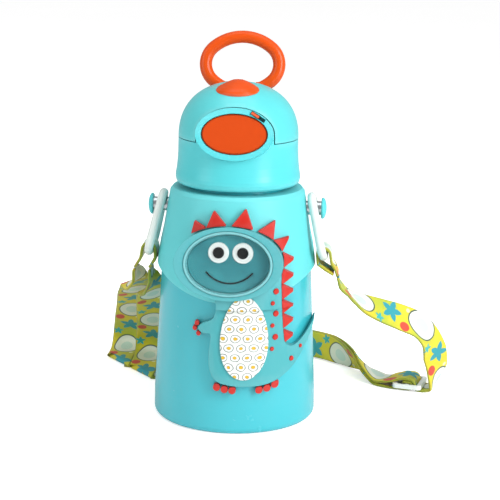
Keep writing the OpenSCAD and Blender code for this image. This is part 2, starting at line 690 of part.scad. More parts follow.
vent_x = 12;
vent_y = 8;

// Lock tab: slides along the bezel's upper right edge
lock_w = 4;
lock_t = 1.2;
lock_deep = 4.5;
lock_travel = 3;
lock_angle = 56;
lock_turn = -32;
lock_inset = 1.35;
module at_lock() {
    at_button() translate([(bezel_a - lock_inset) * cos(lock_angle),
        (bezel_b - lock_inset) * sin(lock_angle), 0])
        rotate([0, 0, lock_turn]) children();
}

module lock_tab() {
    color("#e8622a") at_lock() translate([-lock_w / 2, -lock_t / 2, -lock_deep])
        cube([lock_w, lock_t, lock_deep + 0.8]);
}

module thread_insert() {
    thread_r = neck_r + 0.9 + loose;
    color("#f0f2f0") difference() {
        union() {
            revolve([[thread_r, 116.4], [insert_r, 116.4], [insert_r, 127.7], [0, 127.7], [0, 125.2],
                [thread_r, 125.2]]);
            revolve([[18, 118.5], [20.2, 118.5], [20.2, 125.3], [18, 125.3]]);
        }
        translate([0, spout_y, 126.3]) cylinder(r = 9.2, h = 3, $fn = 48);
        translate([0, spout_y, 120]) cylinder(r = straw_r + 0.6, h = 10, $fn = 48);
        translate([vent_x, vent_y, 120]) cylinder(r = 1.6, h = 10, $fn = 32);
        translate([vent_x, vent_y, 126.6]) cylinder(r = 3.4, h = 3, $fn = 32);
    }
}

module spout() {
    tip_round = 1.6;
    bore_r = 2.5;
    color("#f4f6f6") translate([0, spout_y, 0]) revolve(concat(
        [[straw_r + running, 126.4], [9, 126.4], [9, 127.7], [spout_r, 127.7], [spout_r, 136],
            [spout_r - 0.9, 139]],
        [for (a = [0:15:90]) [spout_r - 0.9 - tip_round * (1 - cos(a)),
            spout_tip_z - tip_round * (1 - sin(a))]],
        [[bore_r, spout_tip_z], [bore_r, 131], [straw_r + running, 131]]));
}

module vent_valve() {
    color("#e8ecec") translate([vent_x, vent_y, 0])
        revolve([[0, 124.8], [1.1, 124.8], [1.5, 126.7], [3.2, 126.7], [3.2, 127.7], [2.1, 127.7],
            [2.1, 130.8], [0, 130.8]]);
}

module straw() {
    color("#eef4f4") translate([0, spout_y, straw_end_z]) difference() {
        cylinder(r = straw_r, h = 130.8 - straw_end_z, $fn = 48);
        translate([0, 0, -1]) cylinder(r = straw_r - straw_wall, h = 140, $fn = 48);
    }
}

module hinge_pin() {
    color("#b9bec2") along_x(hinge_y, hinge_z) cylinder(r = hinge_pin_r,
        h = 2 * cover_knuckle_x - 0.4, center = true, $fn = 48);
}

function coil(r, pitch, turns, per_turn = 14) =
    [for (i = [0:turns * per_turn]) let (a = 360 * i / per_turn) [r * cos(a), r * sin(a),
        pitch * i / per_turn]];

module cover_spring() {
    wire = 0.4;
    turns = 4;
    r = hinge_pin_r + 0.5 + wire;
    c = coil(r, 0.95, turns);
    color("#9aa0a4") translate([-1.9, hinge_y, hinge_z]) rotate([90, 0, 90])
        sweep(concat([[r - 0.2, -2.8, 0], [r, -1.2, 0]], c, [[r, 1.2, 3.8], [r - 0.2, 2.6, 3.8]]),
            [[0, 0, 1]], round_section(wire));
}

module button_spring() {
    free_len = seat_back - seat_t - cap_sink - cap_t - carrier_t - 2 * spring_wire_r - 0.2;
    color("#9aa0a4") at_button() translate([0, 0, -seat_back + seat_t + spring_wire_r + 0.1])
        sweep(coil(stem_r + 1 + spring_wire_r, free_len / 4, 4), [[0, 0, 1]], round_section(spring_wire_r));
}

module button_cap() {
    round_in = 0.5;
    color("#e8572a") at_button() union() {
        translate([0, 0, -cap_sink - cap_t]) linear_extrude(cap_t - 0.5) polygon(oval(button_a, button_b));
        translate([0, 0, -cap_sink - 0.5]) linear_extrude(0.5)
            polygon(oval(button_a - round_in, button_b - round_in));
    }
}

hook_back = 18.6;
hook_t = 1.6;
hook_w = 4.8;
carrier_t = 1.2;
module button_slider() {
    back = -cap_sink - cap_t;
    color("#eef1ef") at_button() union() {
        translate([0, 0, back - 11.4]) cylinder(r = stem_r, h = 11.4, $fn = 48);
        translate([-4.5, -5, back - carrier_t]) cube([9, 13.2, carrier_t]);
        translate([-hook_w / 2, 5.6, -hook_back]) cube([hook_w, 2.6, hook_back + back]);
        translate([-hook_w / 2, 5.6, -hook_back]) cube([hook_w, 6.8, hook_t]);
        translate([-hook_w / 2, 10.9, -hook_back]) cube([hook_w, 1.5, hook_t + 0.8]);
    }
}

// ---- flip cover ----

module dome_cover() {
    inner_r = lid_r - cover_wall;
    inner_h = dome_h - cover_wall;
    color("#62dbdc") difference() {
        union() {
            difference() {
                dome_solid();
                revolve(concat([[0, seam_z - 20], [inner_r, seam_z - 20]], dome_profile(inner_r,
                    inner_h, seam_z), [[0, seam_z + inner_h]]));
            }
            // boss of the spout seal, socket of the crown cap and seat of the carry ring
            intersection() {
                dome_solid();
                union() {
                    translate([0, spout_y, 153.8]) cylinder(r = 5, h = 12, $fn = 48);
                    translate([-14, 11, 153]) cube([28, 12.5, 14]);
                    at_button() translate([-2.2, 8.9, -13.9]) cube([4.4, 16, 1.5]);
                    at_button() translate([-2.2, 8.9, -14.9]) cube([4.4, 1.3, 2.4]);
                }
            }
            along_x(ring_pivot_y, ring_pivot_z) cylinder(r = 3.2, h = 2 * ring_boss_x,
                center = true, $fn = 48);
            knuckle(base_knuckle_x + 0.3, cover_knuckle_x, hinge_knuckle_r);
            for (side = [0, 1]) mirror([side, 0, 0]) translate([base_knuckle_x + 0.3, inner_r, hinge_z])
                cube([cover_knuckle_x - base_knuckle_x - 0.3, hinge_y - inner_r, 2.4]);
        }
        // everything below the seam, except the knuckles
        difference() {
            translate([0, 0, seam_z - 30 + seam_gap / 2]) cylinder(r = 60, h = 30);
            knuckle(base_knuckle_x + 0.3, cover_knuckle_x, hinge_knuckle_r);
        }
        knuckle(0, base_knuckle_x + 0.3, hinge_knuckle_r + 0.4);
        along_x(hinge_y, hinge_z) cylinder(r = hinge_pin_r + running, h = 40, center = true, $fn = 48);
        // opening round the bezel, straight-sided below its widest height
        at_button() translate([0, 0, -seat_back - 0.6]) linear_extrude(40) union() {
            polygon(oval(bezel_a + seam_gap, bezel_b + seam_gap));
            translate([-bezel_a - seam_gap, -20]) square([2 * (bezel_a + seam_gap), 20]);
        }
        // room for the ring's eyes, bore of its pin, hole of the crown cap's stem
        for (side = [0, 1]) mirror([side, 0, 0]) along_x(ring_pivot_y, ring_pivot_z)
            translate([0, 0, ring_boss_x]) cylinder(r = 4.4, h = 6.8, $fn = 48);
        along_x(ring_pivot_y, ring_pivot_z) cylinder(r = ring_pin_r + 0.02, h = 40, center = true, $fn = 48);
        translate([0, crown_y, 150]) cylinder(r = crown_stem_r + 0.1, h = 30, $fn = 48);
    }
}

module crown_cap() {
    hill = [[0, 157], [11.6, 157], [11.6, 160.2], [11, 161.2], [9.4, 162.4], [7, 163.8], [4.6, 165],
        [2.4, 165.8], [0, 166.1]];
    color("#e8572a") union() {
        difference() {
            translate([0, crown_y, 0]) revolve(hill);
            dome_solid(0.02);
        }
        translate([0, crown_y, 156.6]) cylinder(r = crown_stem_r, h = 7, $fn = 48);
    }
}

module crown_clip() {
    color("#b9bec2") translate([0, crown_y, 157.2]) difference() {
        cylinder(r = crown_stem_r + 1, h = 0.8, $fn = 48);
        translate([0, 0, -1]) cylinder(r = crown_stem_r + 0.02, h = 3, $fn = 48);
    }
}

module cover_seal() {
    color("#e8ecec") translate([0, spout_y, spout_tip_z + 0.4]) difference() {
        cylinder(r = 6.6, h = 5, $fn = 48);
        translate([0, 0, 153.8 - spout_tip_z - 0.4]) cylinder(r = 5.05, h = 10, $fn = 48);
    }
}

module ring_pin() {
    color("#b9bec2") along_x(ring_pivot_y, ring_pivot_z)
        cylinder(r = ring_pin_r, h = 2 * ring_eye_x1 - 0.6, center = true, $fn = 48);
}

// Four-arc oval, open at the bottom, whose ends meet the two eyes
module carry_ring() {
    end_r = 0.6 * ring_a;
    cx = ring_a - end_r;
    long_gap = (cx * cx - pow(ring_b - end_r, 2)) / (2 * (ring_b - end_r));
    long_r = ring_b + long_gap;
    meet = atan2(long_gap, cx);
    foot = acos((ring_rise + long_gap) / long_r);
    half = concat(arc_points([0, ring_rise + long_gap], long_r, foot - 90, -meet, 5),
                  arc_points([cx, ring_rise], end_r, -meet + 7, meet - 7, 12),
                  arc_points([0, ring_rise - long_gap], long_r, meet, 90 - 4, 7));
    path = concat(half, [[0, ring_rise + ring_b, 0]], [for (i = [len(half) - 1:-1:0]) [-half[i][0],
        half[i][1], 0]]);
    color("#ee6a2a") translate([0, ring_pivot_y, ring_pivot_z]) rotate([90 - ring_lean, 0, 0]) difference() {
        union() {
            sweep(path, [[0, 0, 1]], round_section(ring_tube_r, 20));
            for (side = [0, 1]) mirror([side, 0, 0]) rotate([0, 90, 0]) translate([0, 0, ring_eye_x0])
                cylinder(r = ring_eye_r, h = ring_eye_x1 - ring_eye_x0, $fn = 48);
        }
        rotate([0, 90, 0]) cylinder(r = ring_pin_r + running, h = 60, center = true, $fn = 48);
    }
}

outer_shell();
inner_shell();
base_disc();
sleeve();
stud_pins();
stud_caps();
head_pad();
skin_panel();
spikes();
belly_panel();
freckles();
claws();
window_bezel();
window_lens();
face_plate();
eye_whites();
eye_pupils();
smile();
strap_ring_left();
strap_ring_right();
strap_loop_left();
strap_loop_right();
strap_main();
strap_return();
strap_slider();
neck_seal();
lid_base();
thread_insert();
spout();
vent_valve();
straw();
hinge_pin();
cover_spring();
button_spring();
button_cap();
button_slider();
lock_tab();
dome_cover();
crown_cap();
crown_clip();
cover_seal();
ring_pin();
carry_ring();
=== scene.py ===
import math

import bpy
import numpy as np
from mathutils import Matrix, Vector


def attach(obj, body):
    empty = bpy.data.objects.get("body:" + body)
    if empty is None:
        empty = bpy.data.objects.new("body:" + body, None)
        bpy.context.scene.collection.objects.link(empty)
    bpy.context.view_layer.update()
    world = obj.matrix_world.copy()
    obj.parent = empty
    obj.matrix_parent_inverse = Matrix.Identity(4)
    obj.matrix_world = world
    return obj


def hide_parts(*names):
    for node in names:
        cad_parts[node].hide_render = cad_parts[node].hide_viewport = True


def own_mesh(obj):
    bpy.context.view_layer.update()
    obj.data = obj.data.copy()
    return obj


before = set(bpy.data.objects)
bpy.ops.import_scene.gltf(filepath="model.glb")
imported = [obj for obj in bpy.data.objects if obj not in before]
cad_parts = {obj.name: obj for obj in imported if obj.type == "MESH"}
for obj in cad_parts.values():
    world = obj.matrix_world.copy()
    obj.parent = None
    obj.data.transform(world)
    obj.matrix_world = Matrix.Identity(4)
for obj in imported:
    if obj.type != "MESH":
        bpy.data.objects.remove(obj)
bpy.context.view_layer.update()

MM = 0.001
WEB_WIDTH = 15.0       # the webbing's sizes, its route and its sewn loops are in mm
WEB_THICK = 1.3
LAYER_GAP = 0.15       # between two layers of webbing that lie on each other
GRAIN_DEPTH = 0.0002   # from here on, sizes in finishes are in metres
WEAVE_DEPTH = 0.00025


# ---- camera ----

def make_camera():
    """Looks a little down at the front of the bottle, from slightly to its right."""
    turn, dip, roll = math.radians(4.1), math.radians(12.96), math.radians(0.9)
    level = math.cos(dip)
    forward = Vector((-math.sin(turn) * level, math.cos(turn) * level, -math.sin(dip)))
    data = bpy.data.cameras.new("studio_camera")
    data.sensor_width = 36
    data.lens = 112.3
    data.shift_x = 0.0266
    camera = bpy.data.objects.new("studio_camera", data)
    bpy.context.scene.collection.objects.link(camera)
    stand = Matrix.Translation((0.0532, -0.7421, 0.2527))
    look = forward.to_track_quat("-Z", "Y").to_matrix().to_4x4()
    camera.matrix_world = stand @ look @ Matrix.Rotation(roll, 4, "Z")
    bpy.context.scene.camera = camera


make_camera()
bpy.context.scene.view_settings.view_transform = "Standard"


# ---- webbing of the shoulder strap ----
# A route is a list of points, and the list that goes with it gives the direction of the band's width
# at each point. A fourth value marks a pressed fold, where that width is kept as it is given.

SLIDER_AT = (89, 46)
SLIDER_TURN = math.radians(-14)
SLIDER_ACROSS = (-math.sin(SLIDER_TURN), math.cos(SLIDER_TURN), 0)
FOLD = (1, -1.27, 0, 1)
MAIN_IN = [(50, 0, 69.6), (50.4, 0, 67.2), (53, 2, 63.5), (57, 5, 58.5), (63, 9, 54), (72, 14, 49.5),
           (82, 19, 45), (91, 24, 40), (97, 28, 33), (100.5, 33, 23), (102.5, 38, 12)]
MAIN_IN_WIDE = [(0, 1, 0), (0, 1, 0), (0, 1, -0.1), (-0.3, 1, 0.3), (-0.6, 0.8, 0.8), (-0.6, 0.6, 1),
                (-0.5, 0.5, 1.2), (-0.3, 0.6, 1.4), (0.3, 0.6, 1), (0.8, 0.5, 0.4), (0.7, 0.8, 0.1)]
MAIN_THREAD = [(13, 3.4), (9.5, 0.85), (5, 0.85), (4.1, 1.9), (3.8, 3.6), (3, 5.3), (1.2, 6.15),
               (-1.5, 6.2), (-3.6, 5.95), (-6.4, 4.95), (-10, 3.9)]
RETURN_THREAD = [(-2.4, 4.55), (0.6, 4.55), (1.7, 4.3), (2.05, 3.4), (2.05, 2), (1.7, 1.1), (0.6, 0.75),
                 (-6, 0.75), (-10, 0.75)]
PAIR = [(74, 52, 1.7), (67.5, 58, 4.6), (61, 66, 7.8), (55, 75, 8.2), (48, 84, 8.2), (38, 92, 8.2)]
PAIR_WIDE = [(0.6, 0.8, 0), (0.6, 0.75, -0.35), (0.5, 0.5, -1), (0.2, 0.2, -1), (0, 0, -1), (0, 0, -1)]
MAIN_BACK = [(24, 99, 8.2), (6, 102, 8.2), (-14, 102, 8.2), (-28, 99, 8.2), (-34, 92, 8.2),
             (-28, 85.5, 8.2), (-14, 85, 8.2), (0, 85, 8.2), (7, 81, 8.2), (5, 76, 8.2), (-6, 75, 8.2),
             (-18, 73, 7.4), (-31, 68, 5.2), (-44, 65.5, 1.3), (-57, 67.4, 0.75)]
MAIN_BACK_WIDE = [(0, 0, -1)] * 11 + [(0, -0.4, -1), (-0.2, -0.9, -0.45), (-0.2, -1, -0.08),
                                      (-0.25, -1, 0)]
MAIN_OUT = [(-68.5, 70.4, 0.75), (-69.1, 69.9, 1.5), (-68.5, 70.4, 2.25), (-68.5, 80, 2.25),
            (-68.5, 90, 2.7), (-68.5, 95.5, 5.5), (-67.6, 94, 12), (-65.4, 84, 22), (-62, 68, 34.5),
            (-58.6, 48, 46), (-55, 30, 54.5), (-52.4, 14, 61), (-50.8, 4, 64.5), (-50, 0.8, 67.9),
            (-50, 0.5, 71.2)]
OUT_WIDE = [FOLD] * 3 + [(1, 0, 0)] * 5 + [(1, 0.12, 0), (1, 0.36, 0), (1, 0.75, 0), (0.6, 0.8, 0),
                                          (0.2, 1, 0.1), (0, 1, 0), (0, 1, 0)]
RETURN_BACK = [(30, 93, 8.2), (22, 89, 8.2), (18, 81, 8.2), (16, 71, 8.2), (10, 61, 8.2), (0, 55, 8.2),
               (-12, 51.5, 7.6), (-24, 49.5, 5.4), (-35, 48.6, 1.8), (-44, 49.2, 0.75)]
RETURN_BACK_WIDE = [(0, 0, -1)] * 6 + [(0, -0.2, -1), (-0.1, -0.85, -0.5), (-0.1, -1, -0.1),
                                       (-0.2, -1, 0)]
RETURN_OUT = [(-53.5, 51.3, 0.75), (-54.1, 50.8, 1.5), (-53.5, 51.3, 2.25), (-53.5, 62, 2.9),
              (-53.5, 74, 3.4), (-53.5, 80, 5.8), (-53.2, 79.5, 11.5), (-51.6, 72, 19), (-50, 60, 28),
              (-48.2, 45, 39.5), (-46.4, 30, 49.5), (-44.2, 14, 57.5), (-42.9, 4, 62.5),
              (-42.3, 0.8, 67), (-42.3, 0.5, 71.2)]
LOOP_BAR = (42.7, 81.67)   # across and height of the strap ring's lower bar
LOOP_RADIUS = 3.2
LEFT_LOOP = ([(-49, 0.5, 73.5), (-46.6, 0, 77.2)], [(-39.4, 0, 77.2), (-41.8, 0.5, 73.5)])
RIGHT_LOOP = ([(49.6, 0, 71.5), (48.6, 0, 74.6), (46.6, 0, 77.6)],
              [(40, 0, 77), (43.8, 0, 74.4), (47.6, 0, 72.2)])


def unit(v):
    return v / np.linalg.norm(v)


def through_slider(points):
    """Distances along the slider and heights become points of the bottle's frame."""
    c, s = math.cos(SLIDER_TURN), math.sin(SLIDER_TURN)
    return [(SLIDER_AT[0] + u * c, SLIDER_AT[1] + u * s, z) for u, z in points]


def beside(path, wide, off):
    """The path moved sideways, square to its run and its width."""
    p = np.array(path, float)
    out = []
    for i in range(len(p)):
        along = unit(p[min(i + 1, len(p) - 1)] - p[max(i - 1, 0)])
        out.append(tuple(p[i] + off * unit(np.cross(along, np.array(wide[i][:3], float)))))
    return out


def webbing_rings(route, wide):
    """Centre, width and face direction of each ring, as the solid webbing has them."""
    p = np.array(route, float)
    rings = []
    for i in range(len(p)):
        along = unit(p[min(i + 1, len(p) - 1)] - p[max(i - 1, 0)])
        w = np.array(wide[i][:3], float)
        slanting = len(wide[i]) > 3
        if not slanting:
            w = unit(w - (w @ along) * along)
        rings.append((p[i], w, slanting))
    return rings


def finer_rings(rings, steps=4):
    """Adds rings on a smooth curve between the given ones, but none at a pressed fold."""
    out = []
    n = len(rings)
    for i in range(n - 1):
        (a, wa, sa), (b, wb, sb) = rings[i], rings[i + 1]
        if sa and sb:
            out.append((a, wa))
            continue
        before = rings[max(i - 1, 0)][0]
        after = rings[min(i + 2, n - 1)][0]
        span = np.linalg.norm(b - a)
        ta = unit(b - before) * span if i > 0 and not sa else (b - a)
        tb = unit(after - a) * span if i + 2 < n and not sb else (b - a)
        for k in range(steps):
            t = k / steps
            h = ((2 * t ** 3 - 3 * t ** 2 + 1) * a + (t ** 3 - 2 * t ** 2 + t) * ta
                 + (3 * t ** 2 - 2 * t ** 3) * b + (t ** 3 - t ** 2) * tb)
            out.append((h, (1 - t) * wa + t * wb))
    out.append((rings[-1][0], rings[-1][1]))
    return out


def webbing(name, rings, start=0.0):
    """A flat woven band along the rings, with rounded selvedges, and a map along and across it."""
    half, thick = WEB_WIDTH / 2, WEB_THICK / 2
    top = [(-half, 0.0), (-half + 0.35, 0.82), (-half + 1.1, 1.0), (-4.2, 0.93), (0, 0.96), (4.2, 0.93),
           (half - 1.1, 1.0), (half - 0.35, 0.82), (half, 0.0)]
    section = top + [(x, -y) for x, y in reversed(top[1:-1])]
    centres = np.array([r[0] for r in rings])
    run = np.concatenate([[0], np.cumsum(np.linalg.norm(np.diff(centres, axis=0), axis=1))]) + start
    verts, faces, uvs = [], [], []
    k = len(section)
    for i, (c, w) in enumerate(rings):
        along = unit(centres[min(i + 1, len(rings) - 1)] - centres[max(i - 1, 0)])
        pressed = abs(np.linalg.norm(w) - 1) >= 0.2   # a fold's slanting width is longer than 1
        if not pressed:
            w = unit(w - (w @ along) * along)
        face = unit(np.cross(along, w))
        verts += [tuple((c + w * x + face * y * thick) * MM) for x, y in section]
    for i in range(len(rings) - 1):
        for j in range(k):
            j2 = (j + 1) % k
            faces.append((i * k + j, i * k + j2, (i + 1) * k + j2, (i + 1) * k + j))
            across = [section[j][0], section[j2][0], section[j2][0], section[j][0]]
            uvs += [(run[i + (1 if m > 1 else 0)] * MM, across[m] * MM) for m in range(4)]
    last = (len(rings) - 1) * k
    for ring, at in ((range(k - 1, -1, -1), 0), (range(last, last + k), -1)):
        faces.append(tuple(ring))
        uvs += [(run[at] * MM, section[v % k][0] * MM) for v in ring]
    mesh = bpy.data.meshes.new(name)
    mesh.from_pydata(verts, [], faces)
    layer = mesh.uv_layers.new(name="along_band")
    layer.data.foreach_set("uv", np.array(uvs, np.float32).ravel())
    mesh.polygons.foreach_set("use_smooth", [True] * len(mesh.polygons))
    mesh.update()
    piece = bpy.data.objects.new(name, mesh)
    bpy.context.scene.collection.objects.link(piece)
    return piece, [tuple(c * MM) for c in centres]


def make_strap():
    """The main run goes from the right ring through the slider, and the return run back from it."""
    off = WEB_THICK / 2 + LAYER_GAP
    across = [SLIDER_ACROSS]
    main_route = (MAIN_IN + through_slider(MAIN_THREAD) + beside(PAIR, PAIR_WIDE, -off)
                  + MAIN_BACK + MAIN_OUT)
    main_wide = MAIN_IN_WIDE + across * len(MAIN_THREAD) + PAIR_WIDE + MAIN_BACK_WIDE + OUT_WIDE
    back_route = (through_slider(RETURN_THREAD) + beside(PAIR, PAIR_WIDE, off)
                  + RETURN_BACK + RETURN_OUT)
    back_wide = across * len(RETURN_THREAD) + PAIR_WIDE + RETURN_BACK_WIDE + OUT_WIDE
    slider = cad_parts["strap_slider"]
    made = []
    for name, node, route, wide, exit_at, others in (
            ("webbing_main", "strap_main", main_route, main_wide, MAIN_IN[0], [slider]),
            ("webbing_return", "strap_return", back_route, back_wide, RETURN_OUT[-1], [])):
        rings = finer_rings(webbing_rings(route, wide))
        piece, path = webbing(name, rings)
        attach(piece, "bottle")
        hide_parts(node)
        made.append(piece)
    return made


def make_ring_loop(name, node, body, side, legs):
    """Webbing turned over a strap ring's bar; its two sewn legs hang down."""
    over = []
    for degrees in range(0, 181, 15):
        a = math.radians(degrees)
        over.append((side * LOOP_BAR[0] + side * LOOP_RADIUS * math.cos(a), 0.0,
                     LOOP_BAR[1] + LOOP_RADIUS * math.sin(a)))
    route = legs[0] + over + legs[1]
    rings = [(np.array(p, float), np.array((0, 1, 0), float)) for p in route]
    piece = webbing(name, rings, start=7.0)[0]
    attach(piece, body)
    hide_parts(node)
    return piece


strap_pieces = make_strap()
for loop in (("webbing_loop_left", "strap_loop_left", "ring_left", -1, LEFT_LOOP),
             ("webbing_loop_right", "strap_loop_right", "ring_right", 1, RIGHT_LOOP)):
    strap_pieces.append(make_ring_loop(*loop))


# ---- shared effects ----

def rgb(code):
    """A colour written as six hex digits, as the linear values that the shaders take."""
    part = [int(code[i:i + 2], 16) / 255 for i in (0, 2, 4)]
    return tuple(c / 12.92 if c <= 0.04045 else ((c + 0.055) / 1.055) ** 2.4 for c in part) + (1.0,)


def new_group(name, inputs, outputs):
    group = bpy.data.node_groups.new(name, "ShaderNodeTree")
    for label, kind, value in inputs:
        socket = group.interface.new_socket(label, in_out="INPUT", socket_type="NodeSocket" + kind)
        if value is not None:
            socket.default_value = value
    for label, kind in outputs:
        group.interface.new_socket(label, in_out="OUTPUT", socket_type="NodeSocket" + kind)
    entry = group.nodes.new("NodeGroupInput")
    leave = group.nodes.new("NodeGroupOutput")
    return group, entry.outputs, leave.inputs


class Wires:
    """Adds and joins nodes in one tree, in short lines."""

    def __init__(self, tree):
        self.tree = tree

    def put(self, kind, **settings):
        """Adds one node."""
        node = self.tree.nodes.new(kind)
        for key, value in settings.items():
            setattr(node, key, value)
        return node

    def join(self, source, target):
        self.tree.links.new(source, target)

    def value(self, socket, given):
        """Sets a socket to a number, or joins another node's output to it."""
        if hasattr(given, "links"):
            self.join(given, socket)
        else:
            socket.default_value = given

    def math(self, operation, a, b=0.0):
        node = self.put("ShaderNodeMath", operation=operation)
        self.value(node.inputs[0], a)
        self.value(node.inputs[1], b)
        return node.outputs[0]

    def times(self, a, b):
        return self.math("MULTIPLY", a, b)

    def plus(self, a, b):
        return self.math("ADD", a, b)

    def less(self, a, b):
        return self.math("SUBTRACT", a, b)

    def mix(self, factor, a, b):
        node = self.put("ShaderNodeMix", data_type="RGBA")
        self.value(node.inputs[0], factor)
        self.value(node.inputs[6], a)
        self.value(node.inputs[7], b)
        return node.outputs[2]

    def noise(self, vector, scale, detail=3.0, rough=0.5):
        node = self.put("ShaderNodeTexNoise")
        self.join(vector, node.inputs["Vector"])
        node.inputs["Detail"].default_value = detail
        node.inputs["Roughness"].default_value = rough
        self.value(node.inputs["Scale"], scale)
        return node.outputs["Fac"]

    def step(self, value, low, high):
        """A soft step from 0 at low to 1 at high."""
        node = self.put("ShaderNodeMapRange", interpolation_type="SMOOTHSTEP")
        self.value(node.inputs["Value"], value)
        node.inputs["From Min"].default_value = low
        node.inputs["From Max"].default_value = high
        return node.outputs["Result"]

    def object_place(self):
        return self.put("ShaderNodeTexCoord").outputs["Object"]

    def bump(self, height, strength, distance):
        node = self.put("ShaderNodeBump")
        node.inputs["Strength"].default_value = strength
        node.inputs["Distance"].default_value = distance
        self.join(height, node.inputs["Height"])
        return node


def moulded_surface_group():
    """Fine grain, slow drift of colour and gloss, and a little pale, rougher wear on sharp outward
    edges.
    """
    group, given, out = new_group(
        "moulded_surface",
        [("Colour", "Color", (0.5, 0.5, 0.5, 1)), ("Drift", "Float", 0.06),
         ("Grain Scale", "Float", 2500.0), ("Gloss", "Float", 0.3), ("Gloss Spread", "Float", 0.08),
         ("Wear", "Float", 0.1)],
        [("Colour", "Color"), ("Roughness", "Float"), ("Height", "Float")])
    w = Wires(group)
    place = w.object_place()
    slow = w.noise(place, 22.0, 2.0)
    fine = w.noise(place, given["Grain Scale"], 2.0)
    smudge = w.noise(place, 75.0, 4.0, 0.6)
    shade = w.times(w.less(slow, 0.5), given["Drift"])
    light = w.put("ShaderNodeHueSaturation")
    w.join(given["Colour"], light.inputs["Color"])
    w.join(w.plus(w.times(shade, 2.0), 1.0), light.inputs["Value"])
    edge = w.step(w.put("ShaderNodeNewGeometry").outputs["Pointiness"], 0.52, 0.6)
    worn = w.times(edge, given["Wear"])
    w.join(w.mix(worn, light.outputs["Color"], (0.9, 0.94, 0.94, 1)), out["Colour"])
    spread = w.times(w.less(smudge, 0.45), given["Gloss Spread"])
    w.join(w.plus(w.plus(given["Gloss"], spread), w.times(worn, 0.3)), out["Roughness"])
    w.join(fine, out["Height"])
    return group


def weave_group():
    """Crossing threads of a narrow-woven band, from a map that runs along and across it."""
    group, given, out = new_group(
        "narrow_weave",
        [("Map", "Vector", None), ("Pick", "Float", 0.0009), ("Ends", "Float", 0.0007)],
        [("Height", "Float"), ("Shade", "Float")])
    w = Wires(group)
    cut = w.put("ShaderNodeSeparateXYZ")
    w.join(given["Map"], cut.inputs[0])
    turn = 2 * math.pi
    rib = w.math("SINE", w.times(w.math("DIVIDE", cut.outputs[0], given["Pick"]), turn))
    end = w.math("SINE", w.times(w.math("DIVIDE", cut.outputs[1], given["Ends"]), turn))
    cross = w.times(rib, end)
    w.join(w.plus(w.times(cross, 0.25), 0.5), out["Height"])
    w.join(w.plus(w.times(cross, 0.06), 0.94), out["Shade"])
    return group


SURFACE = moulded_surface_group()
WEAVE = weave_group()


def new_material(name):
    material = bpy.data.materials.new(name)
    material.use_nodes = True
    tree = material.node_tree
    shader = tree.nodes["Principled BSDF"]
    return material, Wires(tree), shader


def moulded(name, colour, gloss, drift=0.05, grain=2500.0, spread=0.08, wear=0.08, bump=0.05,
            round_mm=0.25, **plain):
    """A moulded or painted finish: colour, gloss and grain from the shared group, and softened edges.

    Other words are the shader's own sockets, such as Coat_Weight. Gives the material, its Wires, the
    group node and the shader.
    """
    material, w, shader = new_material(name)
    node = w.put("ShaderNodeGroup", node_tree=SURFACE)
    for label, value in (("Colour", rgb(colour)), ("Drift", drift), ("Grain Scale", grain),
                         ("Gloss", gloss), ("Gloss Spread", spread), ("Wear", wear)):
        node.inputs[label].default_value = value
    w.join(node.outputs["Colour"], shader.inputs["Base Color"])
    w.join(node.outputs["Roughness"], shader.inputs["Roughness"])
    lift = w.bump(node.outputs["Height"], bump, GRAIN_DEPTH)
    if round_mm:
        soft = w.put("ShaderNodeBevel", samples=4)
        soft.inputs["Radius"].default_value = round_mm * MM
        w.join(soft.outputs["Normal"], lift.inputs["Normal"])
    w.join(lift.outputs["Normal"], shader.inputs["Normal"])
    for key, value in plain.items():
        shader.inputs[key.replace("_", " ")].default_value = value
    return material, w, node, shader


# ---- finishes ----

def plain_finish(*values, **named):
    return moulded(*values, **named)[0]


def belly_finish():
    """Pale soft panel printed with a regular row pattern of rings and dots."""
    row_height, ring_spacing = 0.0046, 0.0058
    material, w, node = moulded("belly_printed", "f1f3ec", 0.5, drift=0.03, wear=0.0, bump=0.04)[:3]
    place = w.object_place()
    cut = w.put("ShaderNodeSeparateXYZ")
    w.join(place, cut.inputs[0])
    row = w.math("DIVIDE", cut.outputs[2], row_height)
    every_other = w.times(w.math("FLOOR", row), 0.5)
    column = w.plus(w.math("DIVIDE", cut.outputs[0], ring_spacing), every_other)
    across = w.less(w.math("FRACT", column), 0.5)
    up = w.times(w.less(w.math("FRACT", row), 0.5), 0.95)
    wobble = w.times(w.less(w.noise(place, 420.0, 1.0), 0.5), 0.16)
    away = w.plus(wobble, w.math("SQRT", w.plus(w.times(across, across), w.times(up, up))))
    ring = w.times(w.step(away, 0.33, 0.36), w.step(away, 0.42, 0.39))
    dot = w.step(away, 0.17, 0.14)
    rim = w.times(w.step(away, 0.12, 0.15), w.step(away, 0.19, 0.16))
    base = w.mix(ring, rgb("e3e8e4"), rgb("4f5a52"))
    base = w.mix(dot, base, rgb("d9ae1e"))
    w.join(w.mix(w.times(rim, 0.7), base, rgb("7a6420")), node.inputs["Colour"])
    return material


